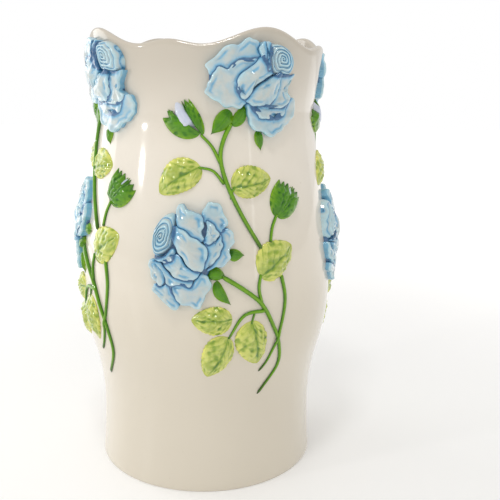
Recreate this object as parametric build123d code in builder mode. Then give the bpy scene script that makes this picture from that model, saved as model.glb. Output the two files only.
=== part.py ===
"""Glazed earthenware umbrella stand with four sprays of roses in relief.

Millimetres, +Z up. The origin is the middle of the foot, on the floor, and
the stand's front faces -Y. An angle on the wall is measured in degrees from
the front, and grows to the right for somebody who faces the stand.
"""
import os
from math import cos, radians, sin

from build123d import *

# ---------------------------------------------------------------- dimensions
WALL = 6.5                  # thickness of the cast wall
FLOOR_TOP = 12.0            # inside floor above the surface it stands on
FLOOR_CORNER = 14.0         # radius where the inside floor meets the wall
FOOT_WIDTH = 12.0           # ring that the stand rests on
FOOT_RECESS = 3.0           # hollow inside that ring
RIM_ROUNDING = 2.6          # soft edge of the mouth

# Outside of the wall, from the foot up, as (radius of the arc, turn in degrees):
# a turn to the right leans outwards. A straight stretch has no turn, only a length.
FOOT_RADIUS = 119.5
FOOT_LEAN = 5.5
WALL_RUNS = [
    (640, -5.5), (250, -16), (240, 16),         # flared foot, waist, up to the belly
    (360, 8.7), (114, 0), (110, -8.7),          # over the belly and in to the neck
    (120, -7.8), (75, 0),                       # out to the lip, past the rim
]

# The rim waves four times round: a wide scallop, then a narrow one, each
# as (angle where it starts, width, height of its crest).
SCALLOPS = [(-3, 60.5, 459.5), (57.5, 29.5, 447.5)]
RIM_DIP = 443.5
SCALLOP_POINTS = 4

# Each spray: name, angle of its centre line on the wall, how much higher than
# the front one it was laid by hand, and the same for its upper rose alone.
SPRAYS = [("front", 0, 0, 0), ("right", 90, 0, 0), ("back", 184, 4, 4), ("left", 280, 8, 1)]

# Heights of the relief above the wall.
STEM_WIDTH, STEM_HEIGHT = 4.2, 2.8
LEAF_HEIGHT = 4.5
SEPAL_HEIGHT = 4.2
BUD_HEIGHT = 6.5
BULB_HEIGHT = 6.5
HEART_HEIGHT = 12.5

REACH_FROM, REACH_TO = 60.0, 175.0      # pads are cut out between these radii
SEAM = Plane.XZ.rotated((0, 0, -34))    # half plane that no spray crosses

# ------------------------------------------------- layout of the front spray
# Places on the wall are (angle, height). A rose's own outlines are millimetres
# right of and above its middle.
UPPER_ROSE_AT = (22, 405)
UPPER_ROSE_HEART = [(4, 40), (20, 38), (33, 29), (35, 17), (26, 13), (11, 14), (4, 25)]
UPPER_ROSE_PETALS = [       # height, outline: the ones on top come first
    (11.0, [(-3, 21), (8, 13), (7, 24), (1, 33)]),
    (10.5, [(-2, 20), (9, 13), (-3, -1), (-12, -10), (-20, 2), (-13, 14)]),
    (10.0, [(-9, -10), (1, 3), (20, 13), (20, 0), (12, -14), (0, -15)]),
    (9.0, [(-3, 25), (-12, 19), (-20, 8), (-19, -3), (-14, -15), (-30, -16), (-46, -6),
           (-40, 11), (-31, 19), (-16, 25)]),
    (8.5, [(21, 12), (36, 13), (32, 2), (35, -10), (26, -17), (14, -15), (20, -4)]),
    (8.0, [(-47, 16), (-37, 30), (-22, 39), (-11, 44), (0, 38), (-4, 28), (-20, 25),
           (-34, 20), (-42, 11)]),
    (8.0, [(-8, -12), (0, -16), (16, -17), (31, -15), (28, -25), (12, -30), (-1, -26)]),
    (7.0, [(-9, -16), (-1, -28), (16, -33), (29, -26), (38, -9), (45, -18), (38, -33),
           (18, -44), (-1, -38)]),
]
LOWER_ROSE_AT = (-7, 250)
LOWER_ROSE_HEART = [(-34, 8), (-31, 26), (-21, 39), (-14, 38), (-15, 24), (-17, 12), (-25, 3)]
LOWER_ROSE_PETALS = [
    (11.0, [(-13, 32), (-2, 25), (12, 17), (16, 6), (12, -9), (-2, -4), (-12, 12), (-15, 22)]),
    (10.0, [(-12, 40), (-9, 50), (5, 42), (13, 38), (23, 30), (22, 19), (12, 19), (-6, 29)]),
    (10.0, [(-29, -1), (-16, 8), (-8, 2), (4, -10), (12, -12), (-2, -19), (-14, -15)]),
    (9.0, [(17, 18), (26, 22), (27, 6), (15, -8), (17, 4)]),
    (8.5, [(-31, -4), (-20, -14), (-6, -21), (7, -18), (0, -25), (-16, -26), (-24, -14)]),
    (8.0, [(14, 40), (20, 52), (29, 46), (33, 31), (26, 24), (22, 33)]),
    (8.0, [(27, 25), (38, 26), (38, 8), (32, -6), (18, -9), (28, 6)]),
    (7.5, [(-16, -27), (2, -26), (12, -15), (20, -24), (10, -47), (-8, -42)]),
    (7.0, [(-36, -2), (-25, -8), (-21, -20), (-27, -26), (-35, -15)]),
    (7.0, [(-32, -27), (-19, -26), (-15, -38), (-8, -46), (-20, -46), (-31, -35)]),
]

# Leaves, sepals: base, one side, tip, other side.
UPPER_LEAVES = [
    [(-3, 334), (-14.8, 341), (-20.3, 307), (-7.6, 315)],
    [(10.5, 315), (18.4, 336), (29.7, 322), (16, 305)],
    [(22.2, 230), (20.6, 253), (38.8, 257), (33, 230)],
]
LOWER_LEAVES = [
    [(10.1, 191), (1.5, 204), (-6.4, 191), (4.4, 176)],
    [(8.6, 173), (-3.6, 155), (-0.1, 130), (11.1, 160)],
    [(18.2, 188), (11.2, 168), (22.2, 141), (25.1, 168)],
]
UPPER_ROSE_SEPALS = [
    [(10.5, 385), (4, 381), (1.4, 363), (9, 369)],
    [(11.4, 371), (12, 382), (18, 392), (17.5, 378)],
    [(23.5, 366), (22.9, 357), (25.4, 348), (27.3, 358)],
]
LOWER_ROSE_BULB = [(-0.8, 236), (3, 241.5), (7, 233), (2.7, 229)]
LOWER_ROSE_SEPALS = [
    [(3.6, 229), (2.8, 218), (9.6, 205), (8, 218)],
    [(8.6, 256), (12, 258), (15.4, 252), (11, 247)],
]
LEFT_BUD_PETAL = [(-4.5, 370), (-11, 385), (-16, 390), (-11, 371)]
LEFT_BUD_SEPALS = [
    [(-2.8, 361), (-12, 360), (-19, 386), (-11, 370)],
    [(-2.9, 363), (-4.8, 380), (-11.8, 392), (-9, 378)],
]
RIGHT_BUD_PETAL = [(33.5, 293), (36.2, 306), (41.3, 311), (41, 300)]
RIGHT_BUD_SEPALS = [
    [(31.2, 286), (29.2, 300), (39.6, 316), (34.8, 303)],
    [(31.8, 286), (41.4, 287.5), (44.8, 306), (40.2, 295)],
]

# Stems: the points that each one runs through.
UPPER_STEMS = [
    [(11.2, 371), (7.2, 358), (5.8, 341), (8.6, 318), (14.5, 290), (23.2, 259)],
    [(-2.4, 362), (2, 352), (5.9, 338)],
    [(-2.6, 333.5), (2.5, 330), (7, 320)],
    [(31.6, 286.5), (28.8, 276), (27.6, 264)],
]
LOWER_STEMS = [
    [(6.4, 233), (14.5, 220), (22.4, 204), (28, 181), (32.2, 158), (33, 133), (24.7, 104)],
    [(31.8, 229), (33.8, 205), (31.6, 172), (27.6, 145), (23.6, 131)],
    [(22.2, 231), (21.3, 219), (22.4, 206)],
    [(24, 197), (15, 194), (8.9, 174)],
    [(19.4, 195), (18.4, 187)],
]


# ---------------------------------------------------------- places on the wall
def wall_line(offset=0.0):
    """Draw the wall's outside, or a line this far out from it, from the foot up."""
    lean = radians(FOOT_LEAN)
    end = Vector(FOOT_RADIUS + offset * cos(lean), offset * sin(lean))
    heading = Vector(-sin(lean), cos(lean))
    runs = []
    for size, turn in WALL_RUNS:
        if turn == 0:
            run = Line(end, end + heading * size)
        else:
            radius = size + offset if turn > 0 else size - offset
            run = JernArc(start=end, tangent=heading, radius=radius, arc_size=turn)
        end, heading = run @ 1, run % 1
        runs.append(run)
    return runs


with BuildLine():
    PROFILE_POINTS = [run @ (step / 10) for run in wall_line() for step in range(11)]


def wall_radius(height):
    """Outside radius of the wall at this height, from points along its profile."""
    for low, high in zip(PROFILE_POINTS, PROFILE_POINTS[1:]):
        if low.Y < height <= high.Y:
            return low.X + (high.X - low.X) * (height - low.Y) / (high.Y - low.Y)
    return FOOT_RADIUS


def facing_plane(angle, height):
    """Upright plane that faces out of the wall here, well inside the stand."""
    turn = radians(angle)
    out = Vector(sin(turn), -cos(turn), 0)
    across = Vector(cos(turn), sin(turn), 0)
    return Plane(origin=out * REACH_FROM + Vector(0, 0, height), x_dir=across, z_dir=out)


def on_plane(place, angle, height):
    """A place on the wall as a point of facing_plane(angle, height)."""
    return (wall_radius(place[1]) * sin(radians(place[0] - angle)), place[1] - height)


def middle(places):
    """Mean angle and height of some places on the wall."""
    return (sum(p[0] for p in places) / len(places), sum(p[1] for p in places) / len(places))


def wall_skin(thickness):
    """A layer of this thickness all over the outside of the wall."""
    with BuildPart() as skin:
        with BuildSketch(SEAM):
            with BuildLine():
                inner = wall_line()
                outer = wall_line(thickness)
                Line(inner[0] @ 0, outer[0] @ 0)
                Line(inner[-1] @ 1, outer[-1] @ 1)
            make_face()
        revolve(axis=Axis.Z)
    return skin.part


SKINS = {}


def skin_of(thickness):
    """The same layer, made once for each thickness."""
    if thickness not in SKINS:
        SKINS[thickness] = wall_skin(thickness)
    return SKINS[thickness]


# ------------------------------------------------------------------ the relief
def raised(outline, thickness, clear_of=()):
    """A pad on the wall with this outline, looking out of the stand, and thickness."""
    with BuildPart() as pad:
        extrude(outline.sketch, amount=REACH_TO - REACH_FROM)
        add(skin_of(thickness), mode=Mode.INTERSECT)
        for other in clear_of:
            add(other, mode=Mode.SUBTRACT)
    return pad.part


def round_pad(points, spot, spray, thickness, clear_of=()):
    """A pad with a smooth closed outline, in millimetres about its spot on the wall."""
    with BuildSketch(facing_plane(spot[0] + spray[1], spot[1] + spray[2])) as outline:
        with BuildLine():
            Spline(*points, periodic=True)
        make_face()
    return main_solid(raised(outline, thickness, clear_of))


def leaf_pad(places, spray, thickness, clear_of=()):
    """A pointed pad: two arcs, base to tip through one side and back by the other."""
    angle, height = middle(places)
    base, side, tip, other_side = [on_plane(p, angle, height) for p in places]
    with BuildSketch(facing_plane(angle + spray[1], height + spray[2])) as outline:
        with BuildLine():
            ThreePointArc(base, side, tip)
            ThreePointArc(tip, other_side, base)
        make_face()
    return main_solid(raised(outline, thickness, clear_of))


def stem_pad(runs, spray, clear_of=()):
    """Stems that branch from each other, as one rib on the wall."""
    angle, height = middle([p for run in runs for p in run])
    with BuildSketch(facing_plane(angle + spray[1], height + spray[2])) as outline:
        for run in runs:
            with BuildLine():
                Spline(*[on_plane(p, angle, height) for p in run])
            trace(line_width=STEM_WIDTH)
    return raised(outline, STEM_HEIGHT, clear_of)


def main_solid(part):
    """The largest solid of a pad, without crumbs left by its neighbours."""
    return max(part.solids(), key=lambda solid: solid.volume)


def rose_petals(petals, spot, spray, heart):
    """Petals that lie over one another: each keeps clear of those on top of it."""
    laid = [heart]
    for thickness, outline in petals:
        laid.append(round_pad(outline, spot, spray, thickness, laid))
    return laid[1:]


def save(name, solids):
    """Write one named piece, or one group of loose pieces, to its own file."""
    with BuildPart() as piece:
        for solid in solids:
            add(solid)
    piece.part.label = name
    export_step(piece.part, f"parts/{name}.step")


# ------------------------------------------------------------------ the vessel
def rim_height(angle, scallop):
    """Height of the rim at an angle inside this scallop."""
    start, width, crest = scallop
    return RIM_DIP + (crest - RIM_DIP) * sin(radians(180 * (angle - start) / width)) ** 2


def rim_face():
    """Wavy ring that the rim follows: level from its inner to its outer edge."""
    places = []
    for quarter in range(4):
        for start, width, crest in SCALLOPS:
            for step in range(SCALLOP_POINTS):
                angle = start + width * step / SCALLOP_POINTS
                height = rim_height(angle, (start, width, crest))
                places.append((radians(angle + 90 * quarter), height))
    rings = []
    for radius in (REACH_FROM, REACH_TO):
        points = [Vector(radius * sin(a), -radius * cos(a), z) for a, z in places]
        rings.append(Edge.make_spline(points, periodic=True))
    return Face.make_surface_from_curves(*rings)


def turned(offset, bottom):
    """The solid inside the wall's line at this offset, from a level bottom up."""
    with BuildPart() as body:
        with BuildSketch(SEAM):
            with BuildLine():
                runs = wall_line(offset)
                foot, lip = runs[0] @ 0, runs[-1] @ 1
                Polyline(lip, (0, lip.Y), (0, foot.Y), foot)
            make_face()
        revolve(axis=Axis.Z)
        split(bisect_by=Plane.XY.offset(bottom), keep=Keep.TOP)
    return body


def make_vessel():
    """The cast body: outside, hollow, foot ring and waved rim."""
    hollow = turned(-WALL, FLOOR_TOP)
    with hollow:
        fillet(hollow.edges().sort_by(Axis.Z)[:1], FLOOR_CORNER)
    with BuildPart() as vessel:
        add(turned(0, 0).part)
        add(hollow.part, mode=Mode.SUBTRACT)
        with BuildSketch(Plane.XY):
            Circle(FOOT_RADIUS - FOOT_WIDTH)
        extrude(amount=FOOT_RECESS, mode=Mode.SUBTRACT)
        extrude(rim_face(), amount=REACH_TO, dir=(0, 0, 1), mode=Mode.SUBTRACT)
        rim = vessel.edges().filter_by(lambda edge: edge.bounding_box().min.Z > RIM_DIP - WALL)
        fillet(rim, RIM_ROUNDING)
    return vessel.part


# -------------------------------------------------------------- one whole spray
def make_spray(spray):
    """All the pieces of one spray, each written to its own file."""
    name = spray[0]
    bloom = (name, spray[1], spray[3])
    upper_heart = round_pad(UPPER_ROSE_HEART, UPPER_ROSE_AT, bloom, HEART_HEIGHT)
    upper_petals = rose_petals(UPPER_ROSE_PETALS, UPPER_ROSE_AT, bloom, upper_heart)
    lower_heart = round_pad(LOWER_ROSE_HEART, LOWER_ROSE_AT, spray, HEART_HEIGHT)
    lower_petals = rose_petals(LOWER_ROSE_PETALS, LOWER_ROSE_AT, spray, lower_heart)
    upper_sepals = [
        leaf_pad(places, bloom, SEPAL_HEIGHT, upper_petals) for places in UPPER_ROSE_SEPALS
    ]
    bulb = leaf_pad(LOWER_ROSE_BULB, spray, BULB_HEIGHT, lower_petals)
    lower_sepals = [
        leaf_pad(places, spray, SEPAL_HEIGHT, [bulb] + lower_petals)
        for places in LOWER_ROSE_SEPALS
    ]
    left_petal = leaf_pad(LEFT_BUD_PETAL, spray, BUD_HEIGHT)
    left_sepals = bud_sepals(LEFT_BUD_SEPALS, spray, left_petal)
    right_petal = leaf_pad(RIGHT_BUD_PETAL, spray, BUD_HEIGHT)
    right_sepals = bud_sepals(RIGHT_BUD_SEPALS, spray, right_petal)
    upper_leaves = [leaf_pad(places, spray, LEAF_HEIGHT) for places in UPPER_LEAVES]
    lower_leaves = [leaf_pad(places, spray, LEAF_HEIGHT) for places in LOWER_LEAVES]
    upper_ends = upper_petals + upper_sepals + left_sepals + right_sepals + upper_leaves
    upper_stems = stem_pad(UPPER_STEMS, spray, upper_ends)
    lower_ends = lower_petals + lower_sepals + [bulb] + upper_leaves + lower_leaves
    lower_stems = stem_pad(LOWER_STEMS, spray, lower_ends)

    save(f"{name}_upper_rose_heart", [upper_heart])
    save(f"{name}_upper_rose_petals", upper_petals)
    save(f"{name}_upper_rose_sepals", upper_sepals)
    save(f"{name}_lower_rose_heart", [lower_heart])
    save(f"{name}_lower_rose_petals", lower_petals)
    save(f"{name}_lower_rose_calyx", [bulb] + lower_sepals)
    save(f"{name}_left_bud_petal", [left_petal])
    save(f"{name}_left_bud_calyx", left_sepals)
    save(f"{name}_right_bud_petal", [right_petal])
    save(f"{name}_right_bud_calyx", right_sepals)
    save(f"{name}_upper_leaves", upper_leaves)
    save(f"{name}_lower_leaves", lower_leaves)
    save(f"{name}_upper_stems", upper_stems.solids())
    save(f"{name}_lower_stems", lower_stems.solids())


def bud_sepals(outlines, spray, petal):
    """The two green sepals that close round a bud's petal."""
    first = leaf_pad(outlines[0], spray, BUD_HEIGHT, [petal])
    return [first, leaf_pad(outlines[1], spray, BUD_HEIGHT, [petal, first])]


os.makedirs("parts", exist_ok=True)
save("vessel", [make_vessel()])
for spray in SPRAYS:
    make_spray(spray)
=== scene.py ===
"""Looks of the glazed umbrella stand: pot, four rose sprays, glazes, light and camera.

Metres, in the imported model's frame. Sizes of the relief are written in
millimetres, as a modeller would measure a sprig, and turned into metres by
on_wall(). Angles on the wall are degrees from the front, to the right for
somebody who faces the stand.
"""
from math import cos, pi, radians, sin

import bpy
import numpy as np
from mathutils import Matrix, Vector


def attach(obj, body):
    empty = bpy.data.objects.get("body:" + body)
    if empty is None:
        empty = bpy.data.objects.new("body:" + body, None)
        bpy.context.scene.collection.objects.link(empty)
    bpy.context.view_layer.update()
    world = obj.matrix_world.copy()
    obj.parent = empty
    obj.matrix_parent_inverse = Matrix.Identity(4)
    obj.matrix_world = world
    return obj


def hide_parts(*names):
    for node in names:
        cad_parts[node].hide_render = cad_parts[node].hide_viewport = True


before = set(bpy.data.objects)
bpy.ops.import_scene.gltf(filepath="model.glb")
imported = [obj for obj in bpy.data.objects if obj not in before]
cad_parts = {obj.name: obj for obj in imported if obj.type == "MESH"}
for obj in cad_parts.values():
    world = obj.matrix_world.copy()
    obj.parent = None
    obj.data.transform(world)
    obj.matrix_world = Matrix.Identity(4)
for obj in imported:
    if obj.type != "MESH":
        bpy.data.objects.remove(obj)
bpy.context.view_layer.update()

MM = 0.001
rng = np.random.default_rng(11)     # small differences between petals and between leaves

# ------------------------------------------------------------ sizes of the pot
FOOT_RADIUS, FOOT_LEAN = 119.5, 5.5
# The outside from the foot up: radius of each arc and its turn in degrees, or a straight length.
WALL_RUNS = [
    (640, -5.5), (250, -16), (240, 16), (360, 8.7), (114, 0), (110, -8.7), (120, -7.8), (75, 0),
]
WALL = 6.5
FLOOR_TOP, FLOOR_CORNER = 12.0, 14.0
FOOT_WIDTH, FOOT_RECESS = 12.0, 3.0
# Scallops of each quarter of the rim: where they start and how wide they are, in degrees,
# and how high they reach. The rim dips to RIM_DIP between them.
SCALLOPS = [(-3, 60.5, 459.5), (57.5, 29.5, 447.5)]
RIM_DIP = 443.5

# Each spray: name, angle of its centre line, lift of the spray, lift of its upper rose.
SPRAYS = [("front", 0, 0, 0), ("right", 90, 0, 0), ("back", 184, 4, 4), ("left", 280, 8, 1)]

# ---------------------------------------------------- layout of the front spray
UPPER_ROSE_AT, LOWER_ROSE_AT = (22, 405), (-7, 250)
# Petals, the ones on top first: height, hollow of the middle, lean (mm per mm
# to the right and up), outline in millimetres about the rose's middle.
UPPER_PETALS = [
    (12.0, -1.2, (0.0, -0.03), [(4, 40), (9, 41), (10, 31), (9, 19), (5, 17), (4, 28)]),
    (11.6, -1.2, (0.0, -0.03), [(-1, 38), (4, 41), (6, 31), (5, 20), (1, 24), (-1, 31)]),
    (11.2, -1.8, (0.08, 0.06), [(2, 31), (-6, 21), (-17, 12), (-20, 3), (-17, -5), (-11, -10),
                                (-4, 2), (5, 9), (11, 15), (7, 25)]),
    (10.6, -1.5, (-0.03, 0.10), [(-11, -11), (-4, 0), (4, 6), (12, 11), (20, 15), (20, 3),
                                 (17, -8), (11, -15), (0, -16)]),
    (9.6, 0.3, (-0.03, 0.00), [(-47, -4), (-42, 8), (-37, 18), (-28, 18), (-19, 25), (-3, 26),
                               (-8, 16), (-17, 6), (-15, -3), (-9, -9), (-14, -17), (-27, -17),
                               (-40, -9)]),
    (9.2, 0.2, (0.02, 0.00), [(18, 14), (30, 13), (39, 14), (33, 5), (31, -4), (36, -9),
                              (31, -16), (22, -18), (12, -16), (16, -4), (18, 5)]),
    (9.0, -0.8, (-0.02, 0.02), [(-47, 20), (-38, 29), (-33, 35), (-27, 38), (-20, 38),
                                (-12, 44), (-4, 42), (2, 35), (-3, 24), (-17, 23), (-26, 16),
                                (-35, 18), (-42, 11)]),
    (8.8, -0.2, (0.00, 0.02), [(-9, -9), (0, -13), (13, -14), (27, -16), (33, -14), (29, -23),
                               (22, -28), (12, -28), (3, -26), (-4, -19)]),
    (7.8, -0.6, (0.00, -0.03), [(-10, -12), (0, -21), (13, -26), (26, -24), (32, -15), (37, -8),
                                (43, -11), (45, -21), (38, -31), (28, -38), (17, -44), (6, -40),
                                (-3, -36), (-7, -26)]),
]
UPPER_BACKING = [(-43, 2), (-42, 19), (-26, 33), (-8, 39), (8, 36), (24, 33), (32, 18), (31, -5),
                 (39, -16), (29, -32), (14, -39), (1, -33), (-8, -14), (-26, -14), (-40, -5)]
# Hearts: height, where the spiral winds in, outline.
UPPER_HEART = (13.2, (20, 26.5), [(8, 38), (18, 40), (30, 35), (37, 24), (34, 13), (23, 11),
                                (12, 12), (7, 24)])
LOWER_PETALS = [
    (11.8, -2.0, (0.03, 0.05), [(-14, 31), (-8, 29), (0, 24), (8, 18), (15, 13), (16, 3),
                                (12, -9), (4, -9), (-4, -1), (-10, 8), (-15, 19)]),
    (11.0, -1.2, (0.02, 0.06), [(-12, 41), (-11, 49), (-7, 51), (-3, 46), (5, 43), (11, 39),
                                (12, 32), (11, 24), (14, 18), (6, 17), (-3, 23), (-11, 30)]),
    (10.8, -1.0, (-0.04, 0.05), [(15, 35), (21, 32), (25, 25), (24, 18), (17, 15), (12, 18),
                                 (15, 25)]),
    (10.6, -0.6, (0.00, 0.04), [(-31, 0), (-22, 4), (-15, 10), (-12, 6), (-15, -1), (-24, -3)]),
    (10.2, -1.4, (0.05, 0.06), [(-24, -2), (-14, 5), (-7, 4), (-2, -5), (5, -8), (11, -11),
                                (5, -18), (-4, -19), (-12, -17), (-19, -10)]),
    (9.6, -0.9, (-0.03, 0.03), [(14, 18), (24, 20), (27, 23), (29, 14), (27, 5), (22, -2),
                                (13, -9), (13, 0)]),
    (9.2, -0.3, (0.00, 0.05), [(-31, -3), (-24, -4), (-18, -13), (-9, -19), (3, -19), (6, -16),
                               (1, -25), (-7, -23), (-15, -26), (-21, -23), (-22, -14)]),
    (8.8, 0.2, (0.02, 0.00), [(9, 38), (13, 48), (19, 53), (26, 50), (31, 40), (33, 31),
                              (25, 24), (18, 31)]),
    (8.8, 0.0, (0.02, 0.00), [(25, 25), (33, 29), (39, 25), (40, 16), (36, 9), (37, 2), (32, -5),
                              (24, -7), (16, -9), (24, 2), (26, 12)]),
    (8.2, -0.8, (0.00, 0.04), [(-17, -25), (-7, -21), (2, -22), (9, -13), (13, -12), (20, -20),
                               (19, -28), (14, -36), (10, -47), (1, -44), (-8, -43), (-13, -35)]),
    (7.8, -0.5, (-0.02, 0.00), [(-36, -2), (-28, -3), (-21, -10), (-20, -18), (-25, -26),
                                (-31, -23), (-37, -12)]),
    (7.6, -0.5, (0.00, 0.00), [(-33, -25), (-25, -25), (-18, -23), (-14, -30), (-8, -43),
                               (-11, -48), (-19, -46), (-26, -38), (-34, -32)]),
]
LOWER_BACKING = [(-31, 20), (-24, 35), (-10, 41), (6, 38), (20, 47), (29, 34), (36, 20), (34, 0),
                 (20, -9), (15, -22), (8, -40), (-6, -40), (-17, -42), (-29, -29), (-34, -10)]
LOWER_HEART = (12.8, (-25, 21), [(-35, 9), (-33, 26), (-24, 39), (-14, 40), (-12, 26), (-15, 13),
                                 (-22, 3), (-31, 1)])

# Leaves: base, one side, tip, other side, as places on the wall.
UPPER_LEAVES = [
    [(-3, 334), (-14.6, 338), (-21.3, 308.5), (-8.2, 310.5)],
    [(10.5, 315), (18.4, 336), (29.7, 322), (16, 305)],
    [(22.2, 230), (20.6, 253), (38.8, 257), (33, 230)],
]
LOWER_LEAVES = [
    [(10.1, 191), (1.5, 204), (-6.4, 191), (4.4, 176)],
    [(8.6, 173), (-3.6, 155), (-0.1, 130), (11.1, 160)],
    [(18.2, 188), (11.2, 168), (22.2, 141), (25.1, 168)],
]
UPPER_SEPALS = [
    [(10.5, 385), (4, 381), (1.4, 363), (9, 369)],
    [(11.4, 371), (12, 382), (18, 392), (17.5, 378)],
    [(23.5, 366), (22.9, 357), (25.4, 348), (27.3, 358)],
]
LOWER_SEPALS = [
    [(3.6, 229), (2.8, 218), (9.6, 205), (8, 218)],
    [(8.6, 256), (12, 258), (15.4, 252), (11, 247)],
]
LOWER_BULB = [(-0.8, 236), (3, 241.5), (7, 233), (2.7, 229)]
LEFT_BUD = [(-6.6, 367.5), (-6.6, 381), (-14.8, 391.5), (-13.6, 374)]
LEFT_BUD_SEPALS = [
    [(-3.2, 364.5), (-12.0, 358.0), (-18.2, 386), (-11.2, 371)],
    [(-2.6, 362.5), (-2.8, 379), (-12.0, 393), (-8.2, 379)],
]
RIGHT_BUD = [(33.5, 293), (36.2, 306), (41.3, 311), (41, 300)]
RIGHT_BUD_SEPALS = [
    [(31.2, 286), (28.9, 301), (37.8, 317.5), (40.2, 301)],
    [(31.8, 286), (41.8, 287.5), (43.8, 310), (35.5, 300)],
]
# Stems: half thickness at the start and the end, then the places they run through.
UPPER_STEMS = [
    (2.3, 2.2, [(11.2, 374), (7.2, 358), (5.8, 341), (8.6, 318), (14.5, 290), (23.2, 256)]),
    (1.5, 1.9, [(-3.2, 363), (2, 352), (6.0, 336)]),
    (1.3, 1.8, [(-4.2, 333.5), (2.5, 330), (7.4, 318)]),
    (1.6, 1.7, [(31.6, 288), (28.8, 276), (27.4, 262)]),
    (1.3, 1.7, [(12.2, 316), (10.5, 310), (10.4, 304)]),
]
LOWER_STEMS = [
    (2.6, 1.5, [(5.4, 234), (14.5, 220), (22.4, 204), (28, 181), (32.2, 158), (33, 133),
                (24.7, 104)]),
    (2.1, 1.3, [(31.8, 231), (33.8, 205), (31.6, 172), (27.6, 145), (23.6, 131)]),
    (1.6, 1.9, [(22.2, 233), (21.3, 219), (22.6, 204)]),
    (2.1, 1.2, [(24.4, 197), (15, 194), (8.6, 171)]),
    (1.2, 1.0, [(19.4, 195), (18.2, 185)]),
]
STEM_CROSSING = (31, 165)           # where the long stem lies over the rose's stem
STEM_TRIM = 0.9                     # share of those half thicknesses that a stem is given


# ----------------------------------------------------------- the wall's surface
def wall_points(offset=0.0, pieces=10):
    """Points (radius, height) up the wall's outside, or up a line this far out from it."""
    lean = radians(FOOT_LEAN)
    place = np.array([FOOT_RADIUS + offset * cos(lean), offset * sin(lean)])
    angle = pi / 2 + lean
    points = [place]
    for size, turn in WALL_RUNS:
        for step in range(1, pieces + 1):
            if turn == 0:
                move = size / pieces
                points.append(points[-1] + move * np.array([cos(angle), sin(angle)]))
                continue
            radius = size + offset if turn > 0 else size - offset
            bend = radians(turn) / pieces
            chord = 2 * radius * sin(abs(bend) / 2)
            way = angle + bend / 2
            points.append(points[-1] + chord * np.array([cos(way), sin(way)]))
            angle += bend
    return np.array(points)


WALL_LINE = wall_points()


def wall_radius(height):
    """Outside radius of the wall at this height, in millimetres."""
    return np.interp(height, WALL_LINE[:, 1], WALL_LINE[:, 0])


def on_wall(angle, height, lift):
    """The point this far out from the wall, at an angle and a height, in metres."""
    radius = wall_radius(height) + lift
    turn = np.radians(angle)
    return np.stack([radius * np.sin(turn), -radius * np.cos(turn), height + 0 * turn], -1) * MM


def local_to_wall(spot, points):
    """Millimetres right of and above a spot, as angles and heights on the wall."""
    height = spot[1] + points[:, 1]
    return spot[0] + np.degrees(points[:, 0] / wall_radius(height)), height


def wall_to_local(spot, places):
    """Places on the wall as millimetres right of and above a spot."""
    places = np.array(places, float)
    across = np.radians(places[:, 0] - spot[0]) * wall_radius(places[:, 1])
    return np.stack([across, places[:, 1] - spot[1]], -1)


# ------------------------------------------------------------------ mesh helpers
CURVE_STEPS = 24            # points between two given ones, before they are spread evenly


def smooth_line(points, count, closed=False):
    """Evenly spread points on a Catmull-Rom curve through these points."""
    pts = np.array(points, float)
    total = len(pts)
    out = []
    for i in range(total if closed else total - 1):
        if closed:
            a, b, c, d = (pts[(i + k) % total] for k in (-1, 0, 1, 2))
        else:
            b, c = pts[i], pts[i + 1]
            a = pts[i - 1] if i else 2 * b - c
            d = pts[i + 2] if i + 2 < total else 2 * c - b
        for t in np.arange(0, 1, 1 / CURVE_STEPS):
            out.append(0.5 * (2 * b + (c - a) * t + (2 * a - 5 * b + 4 * c - d) * t**2
                              + (3 * b - a - 3 * c + d) * t**3))
    out.append(pts[0] if closed else pts[-1])
    out = np.array(out)
    steps = np.concatenate([[0], np.cumsum(np.linalg.norm(np.diff(out, axis=0), axis=1))])
    wanted = np.linspace(0, steps[-1], count + 1 if closed else count)
    line = np.stack([np.interp(wanted, steps, out[:, k]) for k in range(out.shape[1])], -1)
    return line[:-1] if closed else line


def distance_to_line(points, line):
    """Shortest distance from each point to a closed outline."""
    gaps = points[:, None, :] - line[None, :, :]
    return np.sqrt((gaps**2).sum(-1)).min(1)


def inside_line(points, line):
    """Which points lie inside a closed outline."""
    nxt = np.roll(line, -1, axis=0)
    x, y = points[:, 0][:, None], points[:, 1][:, None]
    crosses = (line[:, 1] > y) != (nxt[:, 1] > y)
    rise = np.where(nxt[:, 1] == line[:, 1], 1e-9, nxt[:, 1] - line[:, 1])
    at = line[:, 0] + (y - line[:, 1]) * (nxt[:, 0] - line[:, 0]) / rise
    return (crosses & (x < at)).sum(1) % 2 == 1


def lumps(points, size, spacing, key):
    """Soft hand-pressed unevenness: a few crossed waves, different for each key."""
    total = 0
    for k in range(3):
        way = 2.4 * k + 0.9 * key
        along = points[:, 0] * cos(way) + points[:, 1] * sin(way)
        total = total + np.sin(along * 2 * pi / (spacing * (1 + 0.3 * k)) + 1.7 * key + k)
    return size * total / 3


def ring_faces(rings, count):
    """Quads between rings of points, outermost ring first, closed by a fan in the middle."""
    faces = []
    for ring in range(rings - 1):
        for i in range(count):
            j = (i + 1) % count
            faces.append((ring * count + i, ring * count + j,
                          (ring + 1) * count + j, (ring + 1) * count + i))
    last, middle = (rings - 1) * count, rings * count
    faces += [(last + i, last + (i + 1) % count, middle) for i in range(count)]
    return faces


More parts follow.
